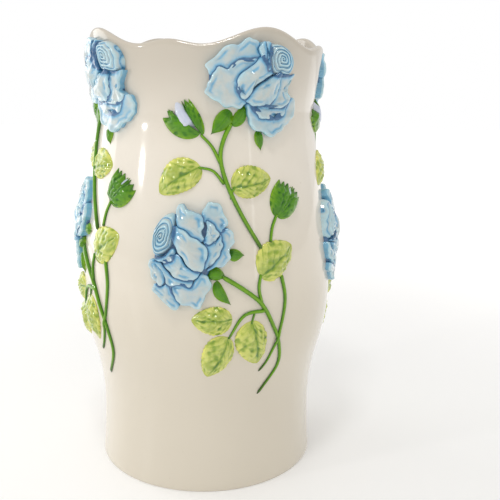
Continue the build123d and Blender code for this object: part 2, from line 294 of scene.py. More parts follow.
def slab_faces(rows, columns):
    """Quads of a closed slab: a grid of points, the same grid under it, and the sides between."""
    size = rows * columns
    faces = []
    for i in range(rows - 1):
        for j in range(columns - 1):
            a, b = i * columns + j, i * columns + j + 1
            faces.append((a, a + columns, b + columns, b))
            faces.append((size + a, size + b, size + b + columns, size + a + columns))
    rim = list(range(columns)) + [i * columns + columns - 1 for i in range(1, rows)]
    rim += [(rows - 1) * columns + j for j in range(columns - 2, -1, -1)]
    rim += [i * columns for i in range(rows - 2, 0, -1)]
    faces += [(here, there, size + there, size + here) for here, there in zip(rim, rim[1:] + rim[:1])]
    return faces


class Clay:
    """Vertices, faces and painted values of one piece, gathered part by part."""

    def __init__(self):
        self.points, self.faces, self.paint, self.count = [], [], [], 0

    def add(self, points, faces, fold, edge, shade=None):
        """Take in a part: points in metres, faces, and values from 0 to 1 for the glaze."""
        shade = np.zeros(len(points)) if shade is None else shade
        self.points.append(points)
        self.faces += [tuple(self.count + i for i in face) for face in faces]
        self.paint.append(np.stack([fold, edge, shade, np.ones(len(points))], -1))
        self.count += len(points)

    def piece(self, name, node, slot, material):
        """Make the piece that stands for a CAD node."""
        mesh = bpy.data.meshes.new(name)
        mesh.from_pydata(np.concatenate(self.points).tolist(), [], self.faces)
        layer = mesh.color_attributes.new("glaze", "FLOAT_COLOR", "POINT")
        layer.data.foreach_set("color", np.clip(np.concatenate(self.paint), 0, 1).ravel())
        mesh.shade_smooth()
        mesh.materials.append(material)
        piece = bpy.data.objects.new(name, mesh)
        bpy.context.scene.collection.objects.link(piece)
        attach(piece, "root")
        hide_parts(node)


# ---------------------------------------------------------------------- petals
OUTLINE_POINTS = 112
ROOT_LIFT = -0.8                                     # lowest ring of a rose's parts, inside the wall
ROSE_REACH = 50.0                                    # from a rose's middle to its furthest tips
FRILL_SIZE, FRILL_SPACING, FRILL_KEY = 1.1, 8.0, 3   # small waves of a petal's outline
EDGE_INSETS = (0.45, 0.0, 0.12, 0.5, 1.1, 2.0)       # from the side's foot over the lip
EDGE_DROPS = (0.0, -2.3, -1.0, -0.1, 0.5, 0.6)       # about the petal's own height
INNER_SHARES = (0.94, 0.88, 0.82, 0.76, 0.69, 0.61, 0.52, 0.42, 0.31, 0.20, 0.10)
LIP_HEIGHT = 0.6
PUFF = 2.1                                           # how far the middles swell
RUFFLES = ((0.6, 4), (0.45, 9))                      # size and number of the waves round an edge
PLEATS, PLEAT_BIAS = 3, 0.4                          # stretches of an edge that have a groove
PLEAT_INSET, PLEAT_WIDTH, PLEAT_DEPTH = 4.2, 1.3, 0.9    # groove behind a rolled lip
BROAD_PRESS, FINE_PRESS = (0.65, 16.0), (0.22, 6.0)  # size and spacing of the unevenness
PETAL_FALL = 0.32                                    # share of the height lost at the tips
SHADE_REACH, SHADE_CORE = 3.2, 1.6                   # glaze that pools, and painted shade, beside the petal above
SIDE_POOL = 0.45                                     # depth of colour down a petal's side
EDGE_BAND = 2.0                                      # width of the lighter edge: thinner glaze and a painted highlight
BACKING_HEIGHT, BACKING_FALL = 6.0, 0.55
BACKING_RINGS = ((1.0, None), (1.0, 0.6), (0.97, 0.9), (0.9, 1), (0.6, 1), (0.3, 1))
HEART_RINGS, HEART_SPOKES = 46, 96
HEART_TURNS, HEART_CROWDING = 5.1, 0.85
HEART_RIDGE, HEART_SINK, VALLEY_WIDTH = 1.7, 1.5, 0.13
HEART_WANDER = ((0.17, 3, 0, 1), (0.12, 5, 4, 0), (0.10, 8, -9, 0))  # size, waves round, inwards, start
HEART_PRESS = (0.3, 6.0, 3)                          # size, spacing and key of the unevenness
VALLEY_TONE, RIDGE_TONE = 0.95, 0.75
DIP_TONE, DIP_DEPTH, GROOVE_TONE = 0.35, 0.9, 0.45   # colour in a petal's dips and grooves
RUFFLE_SHARE = 0.4                                   # how far a ruffle counts as a dip
CREST_WIDTH = 1.3                                    # higher makes the hearts' rolled petals narrower
NEAR_SHADE_TONE, CORE_SHADE_TONE = 0.6, 0.4                      # pooled glaze and painted shade beside the petal above


def frilled(line, key):
    """A petal's outline with the small waves that a pressed clay edge has."""
    middle = line.mean(0)
    out = (line - middle) / np.linalg.norm(line - middle, axis=1)[:, None]
    return line + out * lumps(line, FRILL_SIZE, FRILL_SPACING, key + FRILL_KEY)[:, None]


def backing(clay, spot, outline):
    """The low mass of clay that the petals stand on, glazed deep blue where it shows."""
    line = smooth_line(outline, OUTLINE_POINTS, closed=True)
    middle = line.mean(0)
    flat = [middle + (line - middle) * share for share, _ in BACKING_RINGS]
    flat = np.concatenate(flat + [middle[None, :]])
    levels = [ROOT_LIFT if rise is None else rise * BACKING_HEIGHT for _, rise in BACKING_RINGS]
    lift = np.append(np.repeat(levels, OUTLINE_POINTS), BACKING_HEIGHT)
    away = np.clip(np.linalg.norm(flat, axis=1) / ROSE_REACH, 0, 1)
    lift -= BACKING_FALL * np.maximum(lift, 0) * away**1.5
    angle, level = local_to_wall(spot, flat)
    clay.add(on_wall(angle, level, lift), ring_faces(len(BACKING_RINGS), OUTLINE_POINTS),
             np.ones(len(flat)), np.zeros(len(flat)))


def petal(clay, spot, height, hollow, lean, outline, above):
    """One petal: a rolled lip round a dished or puffed middle, on a side that meets the pot."""
    key = len(above)
    line = frilled(smooth_line(outline, OUTLINE_POINTS, closed=True), key)
    middle = line.mean(0)
    around = np.linspace(0, 2 * pi, OUTLINE_POINTS, endpoint=False)
    phase = rng.uniform(0, 2 * pi, 3)
    ruffle = sum(size * np.sin(waves * around + start) for (size, waves), start in zip(RUFFLES, phase))
    pleated = np.clip(PLEAT_BIAS + np.sin(PLEATS * around + phase[2]), 0, 1)
    reach = np.maximum(np.linalg.norm(line - middle, axis=1), 2 * max(EDGE_INSETS))
    rings, lifts, waves = [], [], []
    for inset, drop in zip(EDGE_INSETS, EDGE_DROPS):
        share = 1 - inset / reach
        rings.append(middle + (line - middle) * share[:, None])
        lifts.append(np.full(OUTLINE_POINTS, drop))
        waves.append(ruffle)
    for inner in INNER_SHARES:
        rings.append(middle + (line - middle) * (share * inner)[:, None])
        lifts.append(np.full(OUTLINE_POINTS, LIP_HEIGHT * inner**8 - PUFF * hollow * (1 - inner**2)))
        waves.append(ruffle * inner**2)
    flat = np.concatenate(rings + [middle[None, :]])
    wave = np.append(np.concatenate(waves), 0)
    pleat = np.append(np.tile(pleated, len(rings)), 0)
    inset = distance_to_line(flat, line)
    groove = pleat * np.exp(-((inset - PLEAT_INSET) / PLEAT_WIDTH) ** 2)
    press = lumps(flat, *BROAD_PRESS, key) + lumps(flat, *FINE_PRESS, 7 + key)
    lift = height + np.append(np.concatenate(lifts), -PUFF * hollow) + (flat - middle) @ np.array(lean)
    away = np.clip(np.linalg.norm(flat, axis=1) / ROSE_REACH, 0, 1)
    lift -= PETAL_FALL * height * away**2
    lift += press + wave - PLEAT_DEPTH * groove
    lift[:OUTLINE_POINTS] = ROOT_LIFT
    dip = np.clip(-(press + RUFFLE_SHARE * wave) / DIP_DEPTH, 0, 1)
    fold = DIP_TONE * dip + GROOVE_TONE * groove
    # pooled glaze and painted shade: darker beside each petal lying above
    for other in above:
        gap = distance_to_line(flat, other)
        beside = NEAR_SHADE_TONE * np.exp(-gap / SHADE_REACH) + CORE_SHADE_TONE * np.exp(-(gap / SHADE_CORE) ** 2)
        fold = np.maximum(fold, np.where(inside_line(flat, other), 1.0, beside))
    side = slice(2 * OUTLINE_POINTS)
    fold[side] = np.maximum(fold[side], SIDE_POOL)
    angle, level = local_to_wall(spot, flat)
    clay.add(on_wall(angle, level, lift), ring_faces(len(rings), OUTLINE_POINTS), fold,
             np.exp(-inset / EDGE_BAND))
    return line


def spiral_heart(clay, spot, heart):
    """The rolled middle of a rose: petals that wind in to a point inside its outline."""
    height, middle, outline = heart
    line = smooth_line(outline, HEART_SPOKES, closed=True)
    middle = np.array(middle, float)
    shares = np.linspace(1, 0, HEART_RINGS, endpoint=False)
    share = np.append(np.repeat(shares, HEART_SPOKES), 0)
    flat = middle + np.concatenate([(line - middle) * s for s in shares] + [[[0, 0]]])
    gap = flat - middle
    phi = np.arctan2(gap[:, 1], gap[:, 0])
    wander = sum(size * np.sin(waves * phi + inwards * share + start)
                 for size, waves, inwards, start in HEART_WANDER)
    turns = (share**HEART_CROWDING * HEART_TURNS - phi / (2 * pi) + wander * share) % 1.0
    ridge = np.sin(np.minimum(turns * CREST_WIDTH, 1.0) * pi) ** 0.7
    valley = np.exp(-np.minimum(turns, 1 - turns) / VALLEY_WIDTH)
    dome = height * np.clip(1 - share**5, 0, 1) ** 0.55
    lift = dome * (1 - 0.12 * share) + (HEART_RIDGE * ridge - HEART_SINK) * (1 - share**10)
    lift += lumps(flat, *HEART_PRESS) * (1 - share)
    lift[share > 0.999] = ROOT_LIFT
    angle, level = local_to_wall(spot, flat)
    clay.add(on_wall(angle, level, lift), ring_faces(HEART_RINGS, HEART_SPOKES),
             VALLEY_TONE * valley, RIDGE_TONE * ridge)
    return line


def rose(name, spray, spot, petals, heart, back):
    """Petals and heart of one rose, as two glazed pieces."""
    place = (spot[0] + spray[1], spot[1] + spray[2])
    middle, bloom = Clay(), Clay()
    backing(bloom, place, back)
    above = [spiral_heart(middle, place, heart)]
    for height, hollow, lean, outline in petals:
        above.append(petal(bloom, place, height, hollow, lean, outline, above))
    middle.piece(f"{name}_heart_glazed", f"{name}_heart", "petal_glaze", PETAL_GLAZE)
    bloom.piece(f"{name}_petals_glazed", f"{name}_petals", "petal_glaze", PETAL_GLAZE)


# ---------------------------------------------------------------- leaves and stems
BLADE_ROWS, BLADE_COLUMNS = 56, 33
BLUNTNESS = 0.62                    # lower makes the ends of a blade rounder
CUP_START, CUP_SPAN = 0.05, 0.70    # a bud's sepal is still wide where it ends
RAG_DEPTH, RAG_SHIFT = 0.14, 0.3    # notches of a bud's tips: share of the length, and how far to a side
TOOTH_DEPTH, SWAY = 0.05, 0.05
RIB_WIDTH, VEIN_WIDTH = 0.09, 0.15
SIDE_VEINS, VEIN_SLANT, VEIN_SWAY = 6.5, 1.7, 0.35
VEIN_START = 0.08                   # side veins start this far from the midrib
EDGE_THICKNESS, BLADE_ROOT = 1.0, -0.6
TIP_SHARE, RAGGED_TIP = 0.82, 0.25  # where the tip's dark tone starts, and how much a bud has
STEM_STEPS, STEM_SIDES = 60, 14
STEM_SEAT = 0.55                    # height of a stem's axis, as a share of its girth
CROSSING_RISE, CROSSING_REACH = 1.9, 7.0
STEM_END, STEM_TAPER = 0.35, 30     # girth at a stem's ends, and how fast it grows from there
# strength of the painted highlight along a stem's top, and of the colour low beside the stem
CREST_HIGHLIGHT, LOW_SHADE_TONE = 0.7, 0.8
STEM_TIP_SHARE = 0.85               # where the dark tone of a stem's end starts
STEM_SHADE_HEIGHT = 2.0             # below this the glaze pools beside a stem, with painted shade
UNDER_SHARE = 0.97                  # width of a blade's underside
VEIN_DEPTH, VEIN_TONE, RIB_TONE = 0.55, 0.55, 0.8
WRINKLE_TONE, WRINKLE_START = 0.6, 0.1
FINE_WRINKLE = 0.6                  # small wrinkles, next to the large ones
END_SLOPE, END_MARGIN, END_LEAST = 4, 0.02, 0.25     # how a blade thins at its two ends


def blade_frame(places, spray):
    """Middle spot of a blade, with its base, tip and the sides' distances from its midrib."""
    places = np.array(places, float) + np.array([spray[1], spray[2]])
    spot = places.mean(0)
    base, side, tip, other = wall_to_local(spot, places)
    along = (tip - base) / np.linalg.norm(tip - base)
    across = np.array([-along[1], along[0]])
    left, right = (side - base) @ across, (other - base) @ across
    if left < right:
        left, right = right, left
    return spot, base, tip, along, across, left, -right


def blade(clay, places, spray, height, vein=0.0, teeth=0, fullness=0.72, crinkle=0.0, ragged=0,
          point=0.0):
    """A leaf or sepal: domed blade with a midrib, side veins and a toothed edge or tip."""
    spot, base, tip, along, across, left, right = blade_frame(places, spray)
    length = np.linalg.norm(tip - base)
    phase = rng.uniform(0, 2 * pi, 4)
    s, t = np.meshgrid(np.linspace(0, 1, BLADE_ROWS), np.linspace(-1, 1, BLADE_COLUMNS), indexing="ij")
    if ragged:
        profile = np.clip(np.sin(pi * (CUP_START + CUP_SPAN * s**0.75)), 0, 1) ** 0.8
        length_here = length * (1 - RAG_DEPTH * np.abs((t * ragged + RAG_SHIFT) % 2 - 1) * s**3)
    else:
        profile = np.clip(np.sin(pi * s**fullness), 0, 1) ** (BLUNTNESS + point * s**2)
        length_here = length
    notch = 1 + TOOTH_DEPTH * np.abs(np.sin(pi * teeth * s + phase[0])) * np.abs(t) ** 3
    width = np.where(t > 0, left, right) * profile * notch
    x = s * length_here
    y = t * width + SWAY * length * np.sin(pi * s) * np.sin(phase[1])
    rib = np.exp(-(np.abs(t) / RIB_WIDTH) ** 1.5)
    slant = s * SIDE_VEINS - np.abs(t) * VEIN_SLANT + VEIN_SWAY * np.sin(4 * s + 3 * t + phase[2])
    side_vein = np.exp(-(np.abs((slant % 1.0) - 0.5) / VEIN_WIDTH) ** 2) * (np.abs(t) > VEIN_START) * profile
    dome = (1 - np.abs(t) ** 2.6) * np.clip(profile, 0, 1) ** 0.6
    lift = EDGE_THICKNESS + (height - EDGE_THICKNESS) * dome
    lift -= vein * rib * profile + VEIN_DEPTH * vein * side_vein * (1 - np.abs(t) ** 4)
    wrinkle = np.sin(13 * s + 5 * t + phase[3]) * np.sin(9 * t + 4 * s + phase[0])
    wrinkle += FINE_WRINKLE * np.sin(31 * s - 9 * t + phase[2]) * np.cos(7 * t + phase[1])
    lift += crinkle * profile * wrinkle
    lift *= np.clip(END_SLOPE * np.minimum(s + END_MARGIN, 1 + END_MARGIN - s), END_LEAST, 1)
    flat = base + x[..., None] * along + y[..., None] * across
    under = base + x[..., None] * along + (y * UNDER_SHARE)[..., None] * across
    points = np.concatenate([flat.reshape(-1, 2), under.reshape(-1, 2)])
    lifts = np.concatenate([lift.ravel(), np.full(lift.size, BLADE_ROOT)])
    hollow = WRINKLE_TONE * np.clip(-wrinkle - WRINKLE_START, 0, 1) * (1 if crinkle else 0)
    drawn = min(vein, 1.0)
    broken = 0.55 + 0.45 * np.sin(5 * s + 7 * t + phase[1]) * np.sin(11 * s - 3 * t + phase[2])
    fold = drawn * (rib * RIB_TONE + side_vein * broken * VEIN_TONE) + hollow
    fold = np.clip(fold, 0, 1).ravel()
    # lighter edges: thinner glaze and a painted highlight
    edge = (np.abs(t) ** 5).ravel()
    tipness = np.clip((s - TIP_SHARE) / (1 - TIP_SHARE), 0, 1).ravel() * (RAGGED_TIP if ragged else 1.0)
    angle, level = local_to_wall(spot, points)
    clay.add(on_wall(angle, level, lifts), slab_faces(BLADE_ROWS, BLADE_COLUMNS),
             np.tile(fold, 2), np.tile(edge, 2), np.tile(tipness, 2))


def stem(clay, start, end, places, spray, over=None):
    """A rolled stem, round on top and pressed on to the wall, thinner towards one end."""
    line = smooth_line(np.array(places, float) + np.array([spray[1], spray[2]]), STEM_STEPS)
    spot = line.mean(0)
    flat = wall_to_local(spot, line)
    way = np.gradient(flat, axis=0)
    way /= np.linalg.norm(way, axis=1)[:, None]
    side = np.stack([-way[:, 1], way[:, 0]], -1)
    share = np.linspace(0, 1, STEM_STEPS)
    girth = STEM_TRIM * (start + (end - start) * share)
    girth = girth * np.clip(np.minimum(share, 1 - share) * STEM_TAPER + STEM_END, 0, 1)
    rise = np.zeros(STEM_STEPS)
    if over is not None:
        gap = np.linalg.norm(flat - wall_to_local(spot, [over])[0], axis=1)
        rise = CROSSING_RISE * np.exp(-(gap / CROSSING_REACH) ** 2)
    turns = [2 * pi * k / STEM_SIDES for k in range(STEM_SIDES)]
    points = np.concatenate([flat + side * (girth * cos(turn))[:, None] for turn in turns])
    lifts = np.concatenate([girth * STEM_SEAT + girth * sin(turn) + rise for turn in turns])
    angle, level = local_to_wall(spot, points)
    faces = []
    for k in range(STEM_SIDES):
        here, there = k * STEM_STEPS, (k + 1) % STEM_SIDES * STEM_STEPS
        faces += [(here + i, here + i + 1, there + i + 1, there + i) for i in range(STEM_STEPS - 1)]
    faces.append(tuple(k * STEM_STEPS for k in range(STEM_SIDES)))
    faces.append(tuple(k * STEM_STEPS + STEM_STEPS - 1 for k in reversed(range(STEM_SIDES))))
    # pooled glaze and painted shade: darker where a stem meets the wall
    low = np.clip(1 - lifts / STEM_SHADE_HEIGHT, 0, 1)
    # painted highlight: a lighter line along the top of each stem
    crest = np.repeat([max(sin(turn), 0.0) ** 6 for turn in turns], STEM_STEPS)
    clay.add(on_wall(angle, level, lifts), faces, LOW_SHADE_TONE * low, CREST_HIGHLIGHT * crest,
             np.tile(np.clip((share - STEM_TIP_SHARE) / (1 - STEM_TIP_SHARE), 0, 1), STEM_SIDES))


def greenery(name, spray, suffix, parts, slot, material):
    """One piece made of several blades or stems, standing for one CAD node."""
    clay = Clay()
    for make, args, options in parts:
        make(clay, *args, spray, **options)
    clay.piece(f"{name}_{suffix}_glazed", f"{name}_{suffix}", slot, material)


LEAF_LOOK = dict(height=5.6, vein=1.4, teeth=11, crinkle=0.95, fullness=0.78)
SEPAL_LOOK = dict(height=4.4, vein=0.4, point=0.75)
BULB_LOOK = dict(height=6.8, fullness=0.9)
BUD_LOOK = dict(height=6.8, vein=0.7, crinkle=0.25, ragged=3)
# Each bud: side, the closed petal's places and height, the sepals' places.
BUDS = [("left", LEFT_BUD, 8.2, LEFT_BUD_SEPALS), ("right", RIGHT_BUD, 5.0, RIGHT_BUD_SEPALS)]


def make_spray(spray):
    """All the glazed pieces of one spray."""
    name = spray[0]
    bloom = (name, spray[1], spray[3])
    rose(f"{name}_upper_rose", bloom, UPPER_ROSE_AT, UPPER_PETALS, UPPER_HEART, UPPER_BACKING)
    rose(f"{name}_lower_rose", spray, LOWER_ROSE_AT, LOWER_PETALS, LOWER_HEART, LOWER_BACKING)
    for suffix, leaves in (("upper_leaves", UPPER_LEAVES), ("lower_leaves", LOWER_LEAVES)):
        greenery(name, spray, suffix, [(blade, (p,), LEAF_LOOK) for p in leaves], "leaf_glaze", LEAF_GLAZE)
    sepals = [(blade, (p,), SEPAL_LOOK) for p in UPPER_SEPALS]
    greenery(name, bloom, "upper_rose_sepals", sepals, "stem_glaze", STEM_GLAZE)
    calyx = [(blade, (LOWER_BULB,), BULB_LOOK)] + [(blade, (p,), SEPAL_LOOK) for p in LOWER_SEPALS]
    greenery(name, spray, "lower_rose_calyx", calyx, "stem_glaze", STEM_GLAZE)
    for side, petal_places, swell, sepal_places in BUDS:
        closed = [(blade, (petal_places,), dict(height=swell, vein=0.3))]
        greenery(name, spray, f"{side}_bud_petal", closed, "bud_glaze", BUD_GLAZE)
        sepals = [(blade, (p,), BUD_LOOK) for p in sepal_places]
        greenery(name, spray, f"{side}_bud_calyx", sepals, "stem_glaze", STEM_GLAZE)
    greenery(name, spray, "upper_stems", [(stem, s, {}) for s in UPPER_STEMS], "stem_glaze", STEM_GLAZE)
    lower = [(stem, s, {}) for s in LOWER_STEMS]
    crossing = (STEM_CROSSING[0] + spray[1], STEM_CROSSING[1] + spray[2])
    lower[1] = (stem, LOWER_STEMS[1], dict(over=crossing))
    greenery(name, spray, "lower_stems", lower, "stem_glaze", STEM_GLAZE)


# ------------------------------------------------------------------- materials
def new_material(name):
    """A material with its nodes, links and main shader."""
    material = bpy.data.materials.new(name)
    material.use_nodes = True
    nodes = material.node_tree.nodes
    return material, nodes, material.node_tree.links, nodes["Principled BSDF"]


def node(nodes, kind, **values):
    """A new shader node with these settings."""
    made = nodes.new(kind)
    for key, value in values.items():
        setattr(made, key, value)
    return made


def noise(nodes, links, where, scale, detail=3.0, roughness=0.5):
    """Value of a noise texture at a place."""
    made = nodes.new("ShaderNodeTexNoise")
    made.inputs["Scale"].default_value = scale
    made.inputs["Detail"].default_value = detail
    made.inputs["Roughness"].default_value = roughness
    links.new(where, made.inputs["Vector"])
    return made.outputs["Fac"]


def mix(nodes, links, factor, first, second):
    """Colour between two colours or sockets."""
    made = node(nodes, "ShaderNodeMix", data_type="RGBA")
    for socket, value in ((made.inputs[0], factor), (made.inputs[6], first), (made.inputs[7], second)):
        if isinstance(value, bpy.types.NodeSocket):
            links.new(value, socket)
        else:
            socket.default_value = value
    return made.outputs[2]


def ramp(nodes, links, value, low, high, to_low=0.0, to_high=1.0):
    """A value taken smoothly from one range to another."""
    made = node(nodes, "ShaderNodeMapRange", interpolation_type="SMOOTHSTEP")
    links.new(value, made.inputs["Value"])
    for key, amount in (("From Min", low), ("From Max", high), ("To Min", to_low), ("To Max", to_high)):
        made.inputs[key].default_value = amount
    return made.outputs["Result"]


def maths(nodes, links, kind, first, second):
    """Sum or product of numbers or sockets."""
    made = node(nodes, "ShaderNodeMath", operation=kind)
    for socket, value in zip(made.inputs, (first, second)):
        if isinstance(value, bpy.types.NodeSocket):
            links.new(value, socket)
        else:
            socket.default_value = value
    return made.outputs[0]


GLAZE_IOR, COAT_ROUGHNESS = 1.52, 0.03
FINE_GRAIN, FINE_SHARE = 240.0, 0.25        # small ripple of the glaze, next to its broad ripple
BUMP_DEPTH = 0.0012
MOTTLE_SCALE, STREAK_SCALE = 95.0, 420.0    # patches of another tone, and breaks in the pooled glaze
# Where a value starts and is full, and, for the streaks, the least and most that they let through.
PATCH_RANGE, THICK_RANGE, POOL_RANGE = (0.40, 0.66), (0.0, 0.55), (0.45, 0.95)
EDGE_STREAKS, POOL_STREAKS = (0.25, 0.7, 0.55, 1.0), (0.2, 0.7, 0.8, 1.0)
DARK_SHARE = 0.75                           # how far the tips take the dark tone


def glaze_finish(nodes, links, shader, where, bump, coat, rough=0.14, ripple=38.0):
    """Glossy glaze: clear coat over the colour, with the ripple of a dipped surface."""
    shader.inputs["Roughness"].default_value = rough
    shader.inputs["IOR"].default_value = GLAZE_IOR
    shader.inputs["Coat Weight"].default_value = coat
    shader.inputs["Coat Roughness"].default_value = COAT_ROUGHNESS
    fine = noise(nodes, links, where, FINE_GRAIN, 2.0)
    broad = noise(nodes, links, where, ripple, 2.0)
    height = maths(nodes, links, "ADD", maths(nodes, links, "MULTIPLY", fine, FINE_SHARE), broad)
    bumps = nodes.new("ShaderNodeBump")
    bumps.inputs["Strength"].default_value = bump
    bumps.inputs["Distance"].default_value = BUMP_DEPTH
    links.new(height, bumps.inputs["Height"])
    links.new(bumps.outputs["Normal"], shader.inputs["Normal"])
    links.new(bumps.outputs["Normal"], shader.inputs["Coat Normal"])


def painted(nodes, links):
    """The piece's painted values: fold, edge and shade."""
    attribute = node(nodes, "ShaderNodeAttribute", attribute_name="glaze")
    split = nodes.new("ShaderNodeSeparateColor")
    links.new(attribute.outputs["Color"], split.inputs[0])
    return split.outputs[0], split.outputs[1], split.outputs[2]


def relief_glaze(name, body, edge_and_highlight_colour, thick_and_shade_colour, fold_colour, dark, patch_colour, patch,
                 bump=0.12, coat=0.3, sheen=0.5):
    """A coloured glaze that pools in the folds and thins to another tone at the edges; the pooled tone is
    partly painted shade, the edge tone partly a painted highlight.
    """
    material, nodes, links, shader = new_material(name)
    shader.inputs["Specular IOR Level"].default_value = sheen
    where = nodes.new("ShaderNodeTexCoord").outputs["Object"]
    fold, edge, shade = painted(nodes, links)
    mottle = noise(nodes, links, where, MOTTLE_SCALE, 4.0, 0.6)
    streak = noise(nodes, links, where, STREAK_SCALE, 3.0, 0.55)
    tone = mix(nodes, links, ramp(nodes, links, mottle, *PATCH_RANGE, 0.0, patch), body, patch_colour)
    # edge tone: thinner glaze, partly a painted highlight on lips, edges, ridges and stem tops
    rim = maths(nodes, links, "MULTIPLY", edge, ramp(nodes, links, streak, *EDGE_STREAKS))
    tone = mix(nodes, links, rim, tone, edge_and_highlight_colour)
    # thick and pooled glaze in the folds, partly painted shade in the creases
    broken = ramp(nodes, links, streak, *POOL_STREAKS)
    thick_and_shaded = maths(nodes, links, "MULTIPLY", ramp(nodes, links, fold, *THICK_RANGE), broken)
    tone = mix(nodes, links, thick_and_shaded, tone, thick_and_shade_colour)
    pooled_and_shaded = maths(nodes, links, "MULTIPLY", ramp(nodes, links, fold, *POOL_RANGE), broken)
    tone = mix(nodes, links, pooled_and_shaded, tone, fold_colour)
    tone = mix(nodes, links, maths(nodes, links, "MULTIPLY", shade, DARK_SHARE), tone, dark)
    links.new(tone, shader.inputs["Base Color"])
    glaze_finish(nodes, links, shader, where, bump, coat)
    return material


IVORY, PALE_IVORY = (0.80, 0.735, 0.635, 1), (0.84, 0.785, 0.695, 1)
FOOT_SHADE_TONE, FOOT_SHADE_ZONE = (0.72, 0.655, 0.54, 1), (0.16, 0.34)        # painted shade of the lower wall: full below, gone above, metres
MOUTH_SHADE_TONE, MOUTH_SHADE_ZONE = (0.575, 0.52, 0.435, 1), (0.345, 0.44)    # painted shade of the mouth: none below, full above, metres
SPECK_TONE, SPECK_SHARE, SPECK_RANGE = (0.52, 0.42, 0.30, 1), 0.35, (0.76, 0.80)
CLAY_TONES = (0.72, 0.66, 0.56, 1), (0.80, 0.75, 0.66, 1)
CLOUD_SCALE, SPECK_SCALE, GRAIN_SCALE = 7.0, 520.0, 600.0
BLEND_RANGE = (0.3, 0.7)                                           # between the two tones of a pair
CLAY_ROUGHNESS, CLAY_BUMP, CLAY_BUMP_DEPTH = 0.85, 0.3, 0.0004


def body_glaze():
    """Ivory glaze of the pot, darkened by painted shade towards the foot and the mouth, with faint specks.
    """
    material, nodes, links, shader = new_material("ivory_glaze")
    where = nodes.new("ShaderNodeTexCoord").outputs["Object"]
    broad = noise(nodes, links, where, CLOUD_SCALE, 3.0)
    tone = mix(nodes, links, ramp(nodes, links, broad, *BLEND_RANGE), IVORY, PALE_IVORY)
    height = nodes.new("ShaderNodeSeparateXYZ")
    links.new(where, height.inputs[0])
    # painted shade: the wall darkens towards the foot
    low = ramp(nodes, links, height.outputs["Z"], *FOOT_SHADE_ZONE, 1.0, 0.0)
    tone = mix(nodes, links, low, tone, FOOT_SHADE_TONE)
    # painted shade: the wall darkens towards the mouth
    high = ramp(nodes, links, height.outputs["Z"], *MOUTH_SHADE_ZONE, 0.0, 1.0)
    tone = mix(nodes, links, high, tone, MOUTH_SHADE_TONE)
    specks = noise(nodes, links, where, SPECK_SCALE, 1.0)
    tone = mix(nodes, links, ramp(nodes, links, specks, *SPECK_RANGE, 0.0, SPECK_SHARE), tone, SPECK_TONE)
    links.new(tone, shader.inputs["Base Color"])
    glaze_finish(nodes, links, shader, where, 0.03, 0.5, rough=0.08, ripple=14.0)
    return material


def bare_clay():
    """Unglazed white earthenware of the foot ring."""
    material, nodes, links, shader = new_material("bare_clay")
    where = nodes.new("ShaderNodeTexCoord").outputs["Object"]
    grain = noise(nodes, links, where, GRAIN_SCALE, 4.0, 0.7)
    tone = mix(nodes, links, ramp(nodes, links, grain, *BLEND_RANGE), *CLAY_TONES)
    links.new(tone, shader.inputs["Base Color"])
    shader.inputs["Roughness"].default_value = CLAY_ROUGHNESS
    bumps = nodes.new("ShaderNodeBump")
    bumps.inputs["Strength"].default_value = CLAY_BUMP
    bumps.inputs["Distance"].default_value = CLAY_BUMP_DEPTH
    links.new(grain, bumps.inputs["Height"])
    links.new(bumps.outputs["Normal"], shader.inputs["Normal"])
    return material


BODY_GLAZE = body_glaze()
BARE_CLAY = bare_clay()
PETAL_GLAZE = relief_glaze(
    "petal_glaze", body=(0.54, 0.58, 0.55, 1), edge_and_highlight_colour=(0.47, 0.77, 0.88, 1),
    thick_and_shade_colour=(0.13, 0.41, 0.64, 1), fold_colour=(0.003, 0.085, 0.23, 1),
    dark=(0.10, 0.3, 0.6, 1), patch_colour=(0.33, 0.54, 0.63, 1), patch=0.6, bump=0.45, coat=1.0)
LEAF_GLAZE = relief_glaze(
    "leaf_glaze", body=(0.60, 0.65, 0.14, 1), edge_and_highlight_colour=(0.88, 0.85, 0.17, 1),
    thick_and_shade_colour=(0.27, 0.40, 0.02, 1), fold_colour=(0.09, 0.22, 0.008, 1),
    dark=(0.44, 0.48, 0.04, 1), patch_colour=(0.29, 0.40, 0.04, 1), patch=0.75, bump=0.5, coat=0.7)
STEM_GLAZE = relief_glaze(
    "stem_glaze", body=(0.095, 0.285, 0.004, 1), edge_and_highlight_colour=(0.27, 0.48, 0.02, 1),
    thick_and_shade_colour=(0.045, 0.19, 0.003, 1), fold_colour=(0.014, 0.10, 0.002, 1),
    dark=(0.012, 0.035, 0.005, 1), patch_colour=(0.06, 0.20, 0.01, 1), patch=0.8,
    bump=0.3, coat=0.5, sheen=0.15)
BUD_GLAZE = relief_glaze(
    "bud_glaze", body=(0.62, 0.66, 0.76, 1), edge_and_highlight_colour=(0.72, 0.76, 0.84, 1),
    thick_and_shade_colour=(0.52, 0.58, 0.74, 1), fold_colour=(0.40, 0.48, 0.66, 1),
    dark=(0.6, 0.65, 0.75, 1), patch_colour=(0.52, 0.58, 0.74, 1), patch=0.7)


# --------------------------------------------------------------------- the pot
def rim_height(angles):
    """Height of the rim's crest line at these angles, in millimetres."""
    heights = np.full(len(angles), RIM_DIP)
    for start, width, crest in SCALLOPS:
        share = ((angles - start) % 90) / width
        inside = share < 1
        heights[inside] += (crest - RIM_DIP) * np.sin(pi * share[inside]) ** 2
    return heights


AROUND = 384
OUTSIDE_ROWS, INSIDE_ROWS, RIM_ROWS, CORNER_ROWS = 110, 90, 13, 9
LOWEST_SHARE = 0.005                # height of the wall's first ring
MIDDLE_RADII = (18, 60)             # rings that close the floor, above and below
# Rounded edges of the foot ring: steps out from a radius, and the height there.
RECESS_EDGE = ((-0.5, FOOT_RECESS - 0.5), (0.0, 1.2), (1.2, 0.0))
FOOT_EDGE = ((-2.4, 0.0), (-1.3, 0.35), (-0.5, 1.0))


